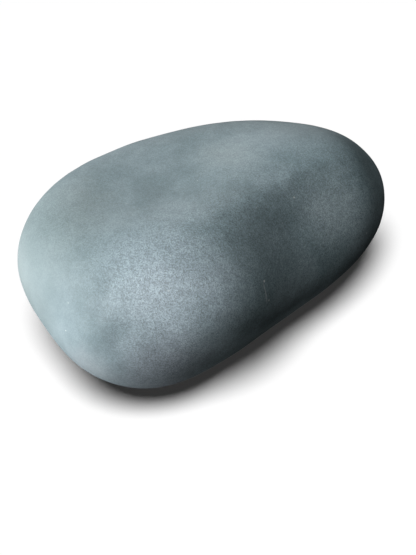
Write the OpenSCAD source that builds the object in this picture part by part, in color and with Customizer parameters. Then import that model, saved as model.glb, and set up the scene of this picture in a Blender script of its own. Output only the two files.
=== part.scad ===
// Basalt massage stone
//
// A water-worn basalt pebble that fills the palm. It is warmed and then slid or pressed over the
// body by hand, so it is one solid piece of rock with no seam, insert or moving part.
//
// X runs along its length, with the broad end at -X. Y runs across it, with the thumb hollow on the
// -Y flank. Z is up. The origin is under the middle of its overall box, on the surface it rests on.

/* [Overall size] */
// Length of the stone along X, in millimetres
stone_length = 100; // [80:1:125]
// Width of the stone along Y
stone_width = 68; // [54:1:84]
// Height of the stone above the surface it rests on
stone_height = 45; // [36:1:54]
// Height of the widest girth above the underside
girth_height = 21.5; // [17:0.5:26]
// Depth worn off the underside, which leaves the flat that the stone rests on
rest_depth = 0.75; // [0.25:0.25:2]

/* [Rounded form] */
// Squareness of the outline seen from above, where 2 is an ellipse
plan_squareness = 2.1; // [2:0.1:2.8]
// Squareness of the upright section, where 2 is an ellipse
side_squareness = 2.8; // [2:0.1:3.2]
// Share of its width that the stone gains at the broad end and loses at the slim end
taper = 0.2; // [0:0.05:0.3]
// Shift of the section towards +Y for each millimetre of height
lean = -0.15; // [-0.2:0.05:0.2]
// How far both ends bow towards -Y
bow = 8; // [0:0.5:10]

/* [Worn hollows] */
// Depth of the thumb hollow in the front flank
thumb_hollow_depth = 6; // [0:0.25:8]
// Depth of the steep drop between the top face and the front flank
ridge_drop_depth = 3; // [0:0.25:4]
// Depth that the front underside is worn back
lower_flank_depth = 3.5; // [0:0.25:5]
// Depth that the underside of the broad end is worn back
broad_end_depth = 7; // [0:0.25:8]
// Depth that the upper edge of the broad end is worn down
brow_depth = 4.75; // [0:0.25:6]
// Depth of the dimple between the broad end and the shoulder
dimple_depth = 2.75; // [0:0.25:4]
// Depth that the top is worn down to a broad face
top_face_depth = 6.25; // [0:0.25:8]
// Depth that the top face falls away towards the broad end
top_corner_depth = 4.75; // [0:0.25:6]
// Depth of the shallow dip behind the edge of the broad end
edge_dip_depth = 1.5; // [0:0.25:2.5]
// Depth worn off the upper back edge
back_edge_depth = 1.5; // [0:0.25:3]
// Depth worn off the upper side of the slim end
slim_tip_depth = 3.5; // [0:0.25:5]

/* [Rounded rises] */
// Height of the shoulder that stands proud on the front of the broad end
shoulder_rise = 4; // [0:0.25:6]
// Height of the belly that stands proud on the front of the slim end
belly_rise = 2.5; // [0:0.25:4]

/* [Surface] */
// Number of points around the stone
points_around = 72; // [40:4:84]
// Number of bands from the lowest point to the highest
bands = 46; // [24:2:54]

/* [Hidden] */

basalt_grey = "#71808a";

// Each place on the surface that water and wear have worked, as
// [heading, height, half length, half width, turn, depth].
// Heading is in degrees from +X towards +Y and height in degrees above the girth. Turn swings the
// place's length from level, in degrees. Half length and half width are shares of the distance
// from the middle. Depth is in millimetres, and a negative depth stands proud.
thumb_hollow = [-60, 40, 1, 0.5, 40, thumb_hollow_depth];
ridge_drop = [-100, 40, 0.95, 0.4, -5, ridge_drop_depth];
lower_flank = [-85, -30, 0.6, 0.4, -20, lower_flank_depth];
broad_end = [170, -30, 1.05, 0.55, -5, broad_end_depth];
brow = [-175, 25, 0.85, 0.45, 55, brow_depth];
dimple = [-140, 20, 0.35, 0.55, 0, dimple_depth];
top_face = [60, 65, 1.1, 0.6, 20, top_face_depth];
top_corner = [-145, 75, 0.45, 0.8, -70, top_corner_depth];
edge_dip = [140, 55, 0.2, 0.4, -75, edge_dip_depth];
back_edge = [105, 60, 0.6, 0.3, 50, back_edge_depth];
slim_tip = [-30, 25, 0.6, 0.35, 20, slim_tip_depth];
shoulder = [-110, 20, 0.3, 0.95, 30, -shoulder_rise];
belly = [-40, 25, 1.3, 0.25, 55, -belly_rise];

WORN_PLACES = [
    thumb_hollow,
    ridge_drop,
    lower_flank,
    broad_end,
    brow,
    dimple,
    top_face,
    top_corner,
    edge_dip,
    back_edge,
    slim_tip,
    shoulder,
    belly
];

// Extra room on every side of the block that cuts the resting flat
cut_margin = 5;

// Unit vector at a heading and a height
function direction(heading, height) =
    [cos(height) * cos(heading), cos(height) * sin(heading), sin(height)];

// Length of the vector [a, b] when length is measured with this power in place of 2
function power_length(a, b, power) =
    pow(pow(abs(a), power) + pow(abs(b), power), 1 / power);

function total(values) = values * [for (value = values) 1];

// Distance that one worn place takes off the surface in the direction n: its whole depth at its
// middle, fading to nothing around it
function wear_from(place, n) =
    let (
        heading = place[0],
        height = place[1],
        half_length = place[2],
        half_width = place[3],
        turn = place[4],
        depth = place[5],
        middle = direction(heading, height),
        level = [-sin(heading), cos(heading), 0],
        upward = cross(middle, level),
        along = cos(turn) * level + sin(turn) * upward,
        across = cos(turn) * upward - sin(turn) * level
    )
    depth * pow(max(n * middle, 0), 2)
        * exp(-pow(n * along / half_length, 2) - pow(n * across / half_width, 2));

// Distance that all the worn places together take off the surface in the direction n
function wear(n) = total([for (place = WORN_PLACES) wear_from(place, n)]);

// Point of the stone in the direction n, before it is fitted to the overall size
function worn_point(n) =
    let (
        half_height = n.z > 0 ? stone_height - girth_height : girth_height,
        roundness = power_length(power_length(n.x, n.y, plan_squareness), n.z, side_squareness),
        rounded = [n.x * stone_length / 2, n.y * stone_width / 2, n.z * half_height] / roundness,
        worn = rounded - wear(n) * n,
        share = worn.x / (stone_length / 2)
    )
    [worn.x, worn.y * (1 - taper * share) + lean * worn.z - bow * share * share, worn.z];

// The lowest point, then band after band of points around the stone, then the highest point
worn_points = [
    worn_point([0, 0, -1]),
    for (band = [1:bands - 1], step = [0:points_around - 1])
        worn_point(direction(360 * step / points_around, 180 * band / bands - 90)),
    worn_point([0, 0, 1])
];

lowest = [for (axis = [0:2]) min([for (point = worn_points) point[axis]])];
highest = [for (axis = [0:2]) max([for (point = worn_points) point[axis]])];
box_middle = (lowest + highest) / 2;
fit_scale = [
    stone_length / (highest.x - lowest.x),
    stone_width / (highest.y - lowest.y),
    (stone_height + rest_depth) / (highest.z - lowest.z)
];

// Points fitted to the overall size, with the depth that is worn off lying below zero
surface_points = [
    for (point = worn_points) [
        (point.x - box_middle.x) * fit_scale.x,
        (point.y - box_middle.y) * fit_scale.y,
        (point.z - lowest.z) * fit_scale.z - rest_depth
    ]
];

// Index of a point in surface_points
function point_at(band, step) = 1 + (band - 1) * points_around + step % points_around;

last_point = len(surface_points) - 1;

// Two triangles for each patch between bands, and a fan at the lowest and highest points
surface_faces = [
    for (step = [0:points_around - 1]) [0, point_at(1, step), point_at(1, step + 1)],
    for (band = [1:bands - 2], step = [0:points_around - 1]) each [
        [point_at(band, step), point_at(band + 1, step), point_at(band + 1, step + 1)],
        [point_at(band, step), point_at(band + 1, step + 1), point_at(band, step + 1)]
    ],
    for (step = [0:points_around - 1])
        [last_point, point_at(bands - 1, step + 1), point_at(bands - 1, step)]
];

// The whole pebble, cut level underneath so that it rests without rocking
module stone() {
    color(basalt_grey)
    difference() {
        polyhedron(points = surface_points, faces = surface_faces, convexity = 4);
        translate([-stone_length / 2 - cut_margin, -stone_width / 2 - cut_margin, -rest_depth - cut_margin])
            cube([stone_length + 2 * cut_margin, stone_width + 2 * cut_margin, rest_depth + cut_margin]);
    }
}

stone();
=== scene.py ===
"""Studio view of a basalt massage stone: a water-worn pebble lying on a pale table.

The script runs from top to bottom. Lengths are in metres unless a name ends in _mm.
"""

import math

import bpy
import numpy as np
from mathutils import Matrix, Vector


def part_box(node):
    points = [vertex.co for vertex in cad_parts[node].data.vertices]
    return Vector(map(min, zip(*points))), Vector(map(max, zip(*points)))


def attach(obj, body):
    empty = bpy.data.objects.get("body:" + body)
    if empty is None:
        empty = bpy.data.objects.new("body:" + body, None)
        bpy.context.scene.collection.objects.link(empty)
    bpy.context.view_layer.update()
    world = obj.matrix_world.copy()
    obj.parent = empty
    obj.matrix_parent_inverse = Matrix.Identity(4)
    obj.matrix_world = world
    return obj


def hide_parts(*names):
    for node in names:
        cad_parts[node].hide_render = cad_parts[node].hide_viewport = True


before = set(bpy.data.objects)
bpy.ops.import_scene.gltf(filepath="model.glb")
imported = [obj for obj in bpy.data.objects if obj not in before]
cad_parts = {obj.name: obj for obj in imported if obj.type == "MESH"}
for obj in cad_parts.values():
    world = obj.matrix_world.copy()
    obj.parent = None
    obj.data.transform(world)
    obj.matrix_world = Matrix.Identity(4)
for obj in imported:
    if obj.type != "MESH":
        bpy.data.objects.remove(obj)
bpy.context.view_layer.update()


# ---- The stone: shape --------------------------------------------------------------------------
# One pebble of dense, fine-grained basalt. A river or the sea rounded it, and it was then tumbled
# with grit until it felt smooth in the hand. It has no seam, coating or second piece.

stone_low, stone_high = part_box("stone")
length_mm, width_mm, height_mm = (1000 * (high - low) for low, high in zip(stone_low, stone_high))

GIRTH_HEIGHT_MM = 21.5
REST_DEPTH_MM = 0.75
REST_BLEND_MM = 0.5
PLAN_SQUARENESS = 2.1
SIDE_SQUARENESS = 2.8
TAPER = 0.2
LEAN = -0.15
BOW_MM = 8.0

# Places that water and wear have worked: heading and height in degrees, half length and half width
# as shares of the distance from the middle, turn in degrees, and depth in mm (proud if negative).
WORN_PLACES = {
    "thumb hollow": (-60, 40, 1.0, 0.5, 40, 6.0),
    "ridge drop": (-100, 40, 0.95, 0.4, -5, 3.0),
    "lower flank": (-85, -30, 0.6, 0.4, -20, 3.5),
    "broad end": (170, -30, 1.05, 0.55, -5, 7.0),
    "brow": (-175, 25, 0.85, 0.45, 55, 4.75),
    "dimple": (-140, 20, 0.35, 0.55, 0, 2.75),
    "top face": (60, 65, 1.1, 0.6, 20, 6.25),
    "top corner": (-145, 75, 0.45, 0.8, -70, 4.75),
    "edge dip": (140, 55, 0.2, 0.4, -75, 1.5),
    "back edge": (105, 60, 0.6, 0.3, 50, 1.5),
    "slim tip": (-30, 25, 0.6, 0.35, 20, 3.5),
    "shoulder": (-110, 20, 0.3, 0.95, 30, -4.0),
    "belly": (-40, 25, 1.3, 0.25, 55, -2.5),
}

# Dents and one low crest too small for the solid, in the same terms as the worn places
SMALL_PLACES = {
    "knock": (-148, 11, 0.12, 0.16, 0, 0.75),
    "crease": (-157, 30, 0.06, 0.25, 0, 0.3),
    "crest": (-54, 56, 0.4, 0.1, -28, -0.5),
}

# Unevenness that is left after tumbling: size of the humps, their height, and a seed
RELIEF_MM = (
    (15.0, 0.16, 3),
    (7.0, 0.08, 4),
    (3.2, 0.025, 5),
    (1.6, 0.012, 6),
)

POINTS_AROUND = 460
BANDS = 212


def direction(heading, height):
    """Unit vectors at these headings and heights, in radians, along the last axis."""
    return np.stack(
        [np.cos(height) * np.cos(heading), np.cos(height) * np.sin(heading), np.sin(height)], axis=-1
    )


def wear(n, places):
    """Depth in mm that the places take off in the direction n.

    Each place counts its depth times the square of the cosine from its middle, times a bell that
    falls off with the square of the distance along it and across it.
    """
    taken = np.zeros(n.shape[:-1])
    for heading, height, half_length, half_width, turn, depth in places.values():
        heading, height, turn = np.radians([heading, height, turn])
        middle = direction(heading, height)
        level = np.array([-np.sin(heading), np.cos(heading), 0.0])
        upward = np.cross(middle, level)
        along = n @ (np.cos(turn) * level + np.sin(turn) * upward)
        across = n @ (np.cos(turn) * upward - np.sin(turn) * level)
        bell = np.exp(-((along / half_length) ** 2) - (across / half_width) ** 2)
        taken += depth * np.maximum(n @ middle, 0.0) ** 2 * bell
    return taken


def lumps(points_mm, size_mm, seed):
    """Smooth random values from -1 to 1 with humps about size_mm across.

    Random values sit on a cubic lattice of that spacing, and each point takes a blend of the eight
    around it, eased at the lattice planes by 3t^2 - 2t^3.
    """
    cells = 64
    lattice = np.random.default_rng(seed).uniform(-1.0, 1.0, (cells, cells, cells))
    place = points_mm / size_mm + cells / 2
    corner = np.floor(place).astype(int)
    t = place - corner
    t = t * t * (3.0 - 2.0 * t)
    value = np.zeros(points_mm.shape[:-1])
    for step in np.ndindex(2, 2, 2):
        x, y, z = np.moveaxis((corner + step) % cells, -1, 0)
        share = np.where(np.array(step) == 1, t, 1.0 - t).prod(axis=-1)
        value += share * lattice[x, y, z]
    return value


def pebble(heading, height):
    """Points of the stone in mm, as a function of heading and height on a grid.

    A rounded box form whose radius is the reciprocal of a power length of the direction is stretched
    to the half sizes, worn in at its places, tapered, leaned and bowed. Low humps and small places
    are added along the direction, the whole is fitted to the box of the solid, and the bottom is
    eased onto the table plane by a parabola.
    """
    n = direction(heading, height)
    around = (np.abs(n[..., 0]) ** PLAN_SQUARENESS + np.abs(n[..., 1]) ** PLAN_SQUARENESS) ** (
        1 / PLAN_SQUARENESS
    )
    roundness = (around**SIDE_SQUARENESS + np.abs(n[..., 2]) ** SIDE_SQUARENESS) ** (
        1 / SIDE_SQUARENESS
    )
    half_height = np.where(n[..., 2] > 0, height_mm - GIRTH_HEIGHT_MM, GIRTH_HEIGHT_MM)
    half = np.stack(
        [np.full_like(half_height, length_mm / 2), np.full_like(half_height, width_mm / 2), half_height],
        axis=-1,
    )
    worn = n * (half / roundness[..., None] - wear(n, WORN_PLACES)[..., None])
    x, y, z = np.moveaxis(worn, -1, 0)
    share = x / (length_mm / 2)
    y = y * (1 - TAPER * share) + LEAN * z - BOW_MM * share**2
    shaped = np.stack([x, y, z], axis=-1)

    relief = sum(depth * lumps(shaped, size, seed) for size, depth, seed in RELIEF_MM)
    relief = relief - wear(n, SMALL_PLACES)
    shaped = shaped + n * relief[..., None]

    lowest = shaped.min(axis=(0, 1))
    highest = shaped.max(axis=(0, 1))
    fitted_size = np.array([length_mm, width_mm, height_mm + REST_DEPTH_MM])
    fitted = (shaped - lowest) / (highest - lowest) * fitted_size
    fitted -= [length_mm / 2, width_mm / 2, REST_DEPTH_MM]
    z = fitted[..., 2]
    eased = (z + REST_BLEND_MM) ** 2 / (4 * REST_BLEND_MM)
    fitted[..., 2] = np.where(z > REST_BLEND_MM, z, np.where(z < -REST_BLEND_MM, 0.0, eased))
    return fitted


heights = np.radians(np.linspace(-90.0, 90.0, BANDS + 1))
headings = np.radians(np.arange(POINTS_AROUND) * 360.0 / POINTS_AROUND)
surface = pebble(*np.meshgrid(headings, heights)) / 1000

# The bands run from the lowest point to the highest, and each end band is a single point
rings = surface[1:-1]
ring_count = len(rings)
points = np.concatenate([surface[0, :1], rings.reshape(-1, 3), surface[-1, :1]])
at = 1 + np.arange(ring_count * POINTS_AROUND).reshape(ring_count, POINTS_AROUND)
following = np.roll(at, -1, axis=1)
patches = np.stack([at[:-1], following[:-1], following[1:], at[1:]], axis=-1).reshape(-1, 4)
bottom_fan = np.stack([np.zeros_like(at[0]), following[0], at[0]], axis=-1)
top_fan = np.stack([np.full_like(at[0], len(points) - 1), at[-1], following[-1]], axis=-1)

stone_mesh = bpy.data.meshes.new("pebble")
stone_mesh.from_pydata(points.tolist(), [], [*patches.tolist(), *bottom_fan.tolist(), *top_fan.tolist()])
stone_mesh.shade_smooth()
stone = bpy.data.objects.new("pebble", stone_mesh)
bpy.context.scene.collection.objects.link(stone)


# ---- The stone: material -----------------------------------------------------------------------
# Tumbled basalt, dry and unpolished. Its crystals are about 0.2 mm, so close to it reads as fine
# pepper and salt, and further off as an even blue grey with soft clouds and a satin sheen.


def linear(code):
    """An sRGB hex colour as linear red, green, blue and alpha."""
    shares = np.array([int(code[i : i + 2], 16) for i in (1, 3, 5)]) / 255
    low = shares / 12.92
    high = ((shares + 0.055) / 1.055) ** 2.4
    return (*np.where(shares <= 0.04045, low, high), 1.0)


def add_node(tree, kind, settings=None, inputs=None):
    """Adds a node, sets its settings, and gives each input a value or a link from a socket."""
    node = tree.nodes.new(kind)
    for name, value in (settings or {}).items():
        setattr(node, name, value)
    for name, value in (inputs or {}).items():
        if isinstance(value, bpy.types.NodeSocket):
            tree.links.new(value, node.inputs[name])
        else:
            node.inputs[name].default_value = value
    return node


# Colour sockets of the mix node, which has others for numbers and vectors before them
MIX_A, MIX_B, MIX_RESULT = 6, 7, 2

basalt = bpy.data.materials.new("tumbled_basalt")
basalt.use_nodes = True
tree = basalt.node_tree
tree.nodes.clear()

place = add_node(tree, "ShaderNodeTexCoord").outputs["Object"]
mm = add_node(
    tree, "ShaderNodeMapping", inputs={"Vector": place, "Scale": (1000, 1000, 1000)}
).outputs["Vector"]

# Clouds of slightly different mineral mix, from 16 mm across down to 1 mm
clouds = add_node(
    tree,
    "ShaderNodeTexNoise",
    inputs={"Vector": mm, "Scale": 1 / 16, "Detail": 4.0, "Roughness": 0.6, "Distortion": 0.15},
).outputs["Fac"]
cloud_share = add_node(
    tree, "ShaderNodeMapRange", inputs={"Value": clouds, "From Min": 0.38, "From Max": 0.64}
).outputs["Result"]
clouded = add_node(
    tree,
    "ShaderNodeMix",
    {"data_type": "RGBA"},
    {"Factor": cloud_share, MIX_A: linear("#728489"), MIX_B: linear("#86979d")},
).outputs[MIX_RESULT]

# Patches of another tint, several of them partly painted light and shade, each with its middle,
# the distance that it reaches and fills in millimetres, its strength and its colour. The noise
# makes their edges ragged.
TINT_AND_PAINTED_LIGHT_PATCHES = {
    # Partly a green tint, partly painted light that makes the broad end lighter
    "greener broad end with painted light": ((-43, 13, 39), 28, 10, 0.5, "#8b9a9b"),
    # Partly a pale dry bloom, partly a painted highlight on the front shoulder
    "dry bloom and painted highlight on the front shoulder": ((-32, -26, 36), 22, 3, 0.5, "#929ca4"),
    # Partly a lilac tint, partly painted shade under the shoulder
    "lilac grey and painted shade under the shoulder": ((-36, -27, 17), 18, 4, 0.55, "#787c84"),
    # Painted light: the bounce and sheen of the white table on the lower rim of the broad end
    "painted table bounce on the lower rim of the broad end": ((-47, -15, 19), 9, 2, 0.5, "#99a2a8"),
    "pale mottle on the top": ((7, 2, 44), 12, 1, 0.45, "#98a6a9"),
    # Partly a darker stain, partly painted shade in the thumb hollow
    "darker stain and painted shade in the thumb hollow": ((-4, -22, 38), 17, 4, 0.55, "#6a797e"),
    # Partly paler rubbed stone, partly painted light on the bulging belly
    "rubbed belly with painted light": ((21, -21, 34), 13, 3, 0.4, "#8f9b9f"),
}
RAGGED_MM = 8
ragged_noise = add_node(
    tree, "ShaderNodeTexNoise", inputs={"Vector": mm, "Scale": 1 / 6, "Detail": 3.0}
).outputs["Color"]
ragged = add_node(
    tree,
    "ShaderNodeVectorMath",
    {"operation": "MULTIPLY_ADD"},
    {0: ragged_noise, 1: (RAGGED_MM, RAGGED_MM, RAGGED_MM), 2: mm},
).outputs["Vector"]
tints_and_painted_light = clouded
for patch_middle, reach, full, strength, colour in TINT_AND_PAINTED_LIGHT_PATCHES.values():
    away = add_node(
        tree,
        "ShaderNodeVectorMath",
        {"operation": "DISTANCE"},
        {0: ragged, 1: [value + RAGGED_MM / 2 for value in patch_middle]},
    ).outputs["Value"]
    patch_share = add_node(
        tree,
        "ShaderNodeMapRange",
        {"interpolation_type": "SMOOTHSTEP"},
        {"Value": away, "From Min": reach, "From Max": full, "To Max": strength},
    ).outputs["Result"]
    tints_and_painted_light = add_node(
        tree,
        "ShaderNodeMix",
        {"data_type": "RGBA"},
        {"Factor": patch_share, MIX_A: tints_and_painted_light, MIX_B: linear(colour)},
    ).outputs[MIX_RESULT]

# Crystals about 0.23 mm across, each a little lighter or darker than the next. They show most on
# the front flank, where nothing rubs them, and least on the top and the broad end.
along, across, _ = add_node(tree, "ShaderNodeSeparateXYZ", inputs={"Vector": mm}).outputs
unrubbed = add_node(
    tree,
    "ShaderNodeMapRange",
    {"interpolation_type": "SMOOTHSTEP"},
    {"Value": across, "From Min": 0, "From Max": -20, "To Min": 0.5, "To Max": 1.0},
).outputs["Result"]
inward = add_node(
    tree,
    "ShaderNodeMapRange",
    {"interpolation_type": "SMOOTHSTEP"},
    {"Value": along, "From Min": -50, "From Max": -36, "To Min": 0.3, "To Max": 1.0},
).outputs["Result"]
grain_share = add_node(
    tree, "ShaderNodeMath", {"operation": "MULTIPLY"}, {0: unrubbed, 1: inward}
).outputs["Value"]
crystals = add_node(tree, "ShaderNodeTexVoronoi", inputs={"Vector": mm, "Scale": 1 / 0.23})
pepper = add_node(
    tree,
    "ShaderNodeMapRange",
    inputs={"Value": crystals.outputs["Color"], "To Min": 0.56, "To Max": 1.44},
).outputs["Result"]
faded = add_node(
    tree,
    "ShaderNodeMix",
    {"data_type": "RGBA"},
    {"Factor": grain_share, MIX_A: linear("#ffffff"), MIX_B: pepper},
).outputs[MIX_RESULT]
grained = add_node(
    tree,
    "ShaderNodeMix",
    {"data_type": "RGBA", "blend_type": "MULTIPLY"},
    {"Factor": 1.0, MIX_A: tints_and_painted_light, MIX_B: faded},
).outputs[MIX_RESULT]

# Crystals gather in blotches of about 2 mm
blotches = add_node(
    tree,
    "ShaderNodeTexNoise",
    inputs={"Vector": mm, "Scale": 1 / 2.2, "Detail": 2.0, "Roughness": 0.6},
).outputs["Fac"]
blotch_shade = add_node(
    tree,
    "ShaderNodeMapRange",
    inputs={"Value": blotches, "From Min": 0.3, "From Max": 0.7, "To Min": 0.9, "To Max": 1.1},
).outputs["Result"]
blotched = add_node(
    tree,
    "ShaderNodeMix",
    {"data_type": "RGBA", "blend_type": "MULTIPLY"},
    {"Factor": grain_share, MIX_A: grained, MIX_B: blotch_shade},
).outputs[MIX_RESULT]

# A few crystals of feldspar show as pale specks, about one to each 4 mm
cells = add_node(tree, "ShaderNodeTexVoronoi", inputs={"Vector": mm, "Scale": 1 / 4})
near = add_node(
    tree,
    "ShaderNodeMapRange",
    inputs={"Value": cells.outputs["Distance"], "From Min": 0.07, "From Max": 0.03},
).outputs["Result"]
chosen = add_node(
    tree,
    "ShaderNodeMapRange",
    inputs={"Value": cells.outputs["Color"], "From Min": 0.5, "From Max": 0.9, "To Max": 0.7},
).outputs["Result"]
speck_share = add_node(
    tree, "ShaderNodeMath", {"operation": "MULTIPLY"}, {0: near, 1: chosen}
).outputs["Value"]
specked = add_node(
    tree,
    "ShaderNodeMix",
    {"data_type": "RGBA"},
    {"Factor": speck_share, MIX_A: blotched, MIX_B: linear("#c3cccd")},
).outputs[MIX_RESULT]

# A thin vein of pale mineral comes out on the front flank, with a crystal at each end of it. Space is
# stretched across the vein, so that a ball around its middle becomes a thin upright lens.
VEIN_MIDDLE = (-10.1, -31.7, 31.7)
VEIN_STRETCH = (12, 0.3, 1)
vein_wander = add_node(
    tree,
    "ShaderNodeTexNoise",
    inputs={"Vector": mm, "Scale": 1 / 2.5, "Detail": 2.0},
).outputs["Color"]
vein_bend = add_node(
    tree, "ShaderNodeVectorMath", {"operation": "MULTIPLY_ADD"}, {0: vein_wander, 1: (1, 0, 0), 2: mm}
).outputs["Vector"]
from_vein = add_node(
    tree, "ShaderNodeVectorMath", {"operation": "SUBTRACT"}, {0: vein_bend, 1: VEIN_MIDDLE}
).outputs["Vector"]
vein_squash = add_node(
    tree, "ShaderNodeVectorMath", {"operation": "MULTIPLY"}, {0: from_vein, 1: VEIN_STRETCH}
).outputs["Vector"]
from_line = add_node(
    tree, "ShaderNodeVectorMath", {"operation": "LENGTH"}, {0: vein_squash}
).outputs["Value"]
vein_share = add_node(
    tree,
    "ShaderNodeMapRange",
    inputs={"Value": from_line, "From Min": 2.8, "From Max": 2.0, "To Max": 0.35},
).outputs["Result"]
veined = add_node(
    tree,
    "ShaderNodeMix",
    {"data_type": "RGBA"},
    {"Factor": vein_share, MIX_A: specked, MIX_B: linear("#d5dada")},
).outputs[MIX_RESULT]

# Larger crystals that stand out one by one, each with its middle and its radius in millimetres
LARGE_CRYSTALS = (
    ((-10.0, -30.9, 34.1), 0.35),
    ((-9.7, -32.3, 29.4), 0.3),
    ((11.9, -16.8, 39.7), 0.3),
    ((30.9, -23.4, 24.3), 0.3),
    ((-49.6, -10.3, 27.9), 0.18),
)
coloured = veined
for crystal, radius in LARGE_CRYSTALS:
    away = add_node(
        tree, "ShaderNodeVectorMath", {"operation": "DISTANCE"}, {0: mm, 1: crystal}
    ).outputs["Value"]
    crystal_share = add_node(
        tree,
        "ShaderNodeMapRange",
        inputs={"Value": away, "From Min": radius, "From Max": radius / 2, "To Max": 0.65},
    ).outputs["Result"]
    coloured = add_node(
        tree,
        "ShaderNodeMix",
        {"data_type": "RGBA"},
        {"Factor": crystal_share, MIX_A: coloured, MIX_B: linear("#dfe3e2")},
    ).outputs[MIX_RESULT]

# Low unevenness between the crystals, which catches the light
UNEVENNESS = 0.00006
uneven = add_node(
    tree,
    "ShaderNodeTexNoise",
    inputs={"Vector": mm, "Scale": 1 / 0.6, "Detail": 2.0, "Roughness": 0.6},
).outputs["Fac"]
relief = add_node(
    tree,
    "ShaderNodeBump",
    inputs={"Height": uneven, "Strength": grain_share, "Distance": UNEVENNESS},
).outputs["Normal"]

shader = add_node(
    tree,
    "ShaderNodeBsdfPrincipled",
    inputs={"Base Color": coloured, "Roughness": 0.6, "IOR": 1.4, "Normal": relief},
)
add_node(tree, "ShaderNodeOutputMaterial", inputs={"Surface": shader.outputs["BSDF"]})

stone_mesh.materials.append(basalt)

# The studio's lamps for the stone are not the table's, so the table shows no bounce or sheen of it
stone.visible_diffuse = False
stone.visible_glossy = False
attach(stone, "root")
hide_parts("stone")


# ---- The table ---------------------------------------------------------------------------------
# A plain white sheet, wide enough to fill the view. The lamps for the stone pass it by, so that it
# stays an even white, and the broad sun over it draws the soft shadow.

TABLE_HALF = 1.5

table_mesh = bpy.data.meshes.new("table")
table_mesh.from_pydata(
    [(x * TABLE_HALF, y * TABLE_HALF, 0.0) for x, y in ((-1, -1), (1, -1), (1, 1), (-1, 1))],
    [],
    [(0, 1, 2, 3)],
)
table = bpy.data.objects.new("table", table_mesh)
bpy.context.scene.collection.objects.link(table)
table.visible_diffuse = False
table.visible_glossy = False
table.visible_shadow = False

paper = bpy.data.materials.new("white_paper")
paper.use_nodes = True
paper_shader = paper.node_tree.nodes["Principled BSDF"]
paper_shader.inputs["Base Color"].default_value = linear("#f6f6f6")
paper_shader.inputs["Roughness"].default_value = 0.9
table_mesh.materials.append(paper)


# ---- Studio light ------------------------------------------------------------------------------
# Large soft lamps, each given by its bearing and height in degrees, its distance, side and power.
# The key stands at the broad end. The two lamps below the table, which casts no shadow, stand for
# the light that a white table throws back.

middle = (stone_low + stone_high) / 2


def lit_group(name, thing):
    """A collection with one thing in it, for a lamp that lights that thing alone."""
    group = bpy.data.collections.new(name)
    group.objects.link(thing)
    return group


def lamp(name, lights, bearing, height, distance, side, watts):
    """A square soft lamp, turned to face the stone, that lights one group."""
    outward = Vector(direction(*np.radians([bearing, height])))
    data = bpy.data.lights.new(name, "AREA")
    data.shape = "SQUARE"
    data.size = side
    data.energy = watts
    made = bpy.data.objects.new(name, data)
    made.location = middle + outward * distance
    made.rotation_euler = outward.to_track_quat("Z", "Y").to_euler()
    made.visible_camera = False
    made.light_linking.receiver_collection = lights
    bpy.context.scene.collection.objects.link(made)


on_stone = lit_group("lit_stone", stone)
on_table = lit_group("lit_table", table)
lamp("key", on_stone, 175, 27, 0.8, 0.6, 9.9)
lamp("bounce", on_stone, 115, -20, 0.8, 0.45, 3.0)
lamp("rim", on_stone, 55, 20, 0.8, 0.45, 1.6)
lamp("front", on_stone, 235, 60, 0.8, 0.45, 1.9)
lamp("low_left", on_stone, 168, -42, 0.8, 0.45, 2.2)

# The table's own lamp is a broad sun, so that the white is even out to every edge of the view
SUN_BEARING = 220
SUN_HEIGHT = 60
SUN_BREADTH = 24

sun_data = bpy.data.lights.new("table_sun", "SUN")
sun_data.energy = 3.9
sun_data.angle = np.radians(SUN_BREADTH)
sun = bpy.data.objects.new("table_sun", sun_data)
sunward = Vector(direction(*np.radians([SUN_BEARING, SUN_HEIGHT])))
sun.rotation_euler = sunward.to_track_quat("Z", "Y").to_euler()
sun.light_linking.receiver_collection = on_table
bpy.context.scene.collection.objects.link(sun)

world = bpy.data.worlds.new("studio")
bpy.context.scene.world = world
world.use_nodes = True
sky = world.node_tree
sky.nodes["Background"].inputs["Color"].default_value = linear("#ffffff")

# Dim light from all round, and dimmer from below, where the stone's own shadow lies
ray = add_node(sky, "ShaderNodeTexCoord").outputs["Generated"]
_, _, ray_height = add_node(sky, "ShaderNodeSeparateXYZ", inputs={"Vector": ray}).outputs
sky_strength = add_node(
    sky,
    "ShaderNodeMapRange",
    inputs={"Value": ray_height, "From Min": -0.4, "From Max": 0.1, "To Min": 0.008, "To Max": 0.034},
).outputs["Result"]
sky.links.new(sky_strength, sky.nodes["Background"].inputs["Strength"])

bpy.context.scene.view_settings.view_transform = "Standard"


# ---- The camera --------------------------------------------------------------------------------
# A short telephoto lens above the broad end and a little to the side of the thumb hollow. The long
# side of the frame is as wide as the sensor.

CAMERA_BEARING = -40
CAMERA_HEIGHT = 36
CAMERA_DISTANCE = 0.33
LENS_MM = 87.4
SENSOR_MM = 36

camera_data = bpy.data.cameras.new("camera")
camera_data.lens = LENS_MM
camera_data.sensor_width = SENSOR_MM
camera_data.shift_x = -0.0021
camera_data.shift_y = -0.0609
camera_data.clip_start = 0.01
camera = bpy.data.objects.new("camera", camera_data)
turn, tilt = np.radians([CAMERA_BEARING, CAMERA_HEIGHT])
back = Vector((math.sin(turn) * math.cos(tilt), -math.cos(turn) * math.cos(tilt), math.sin(tilt)))
camera.location = middle + back * CAMERA_DISTANCE
camera.rotation_euler = back.to_track_quat("Z", "Y").to_euler()
bpy.context.scene.collection.objects.link(camera)
bpy.context.scene.camera = camera
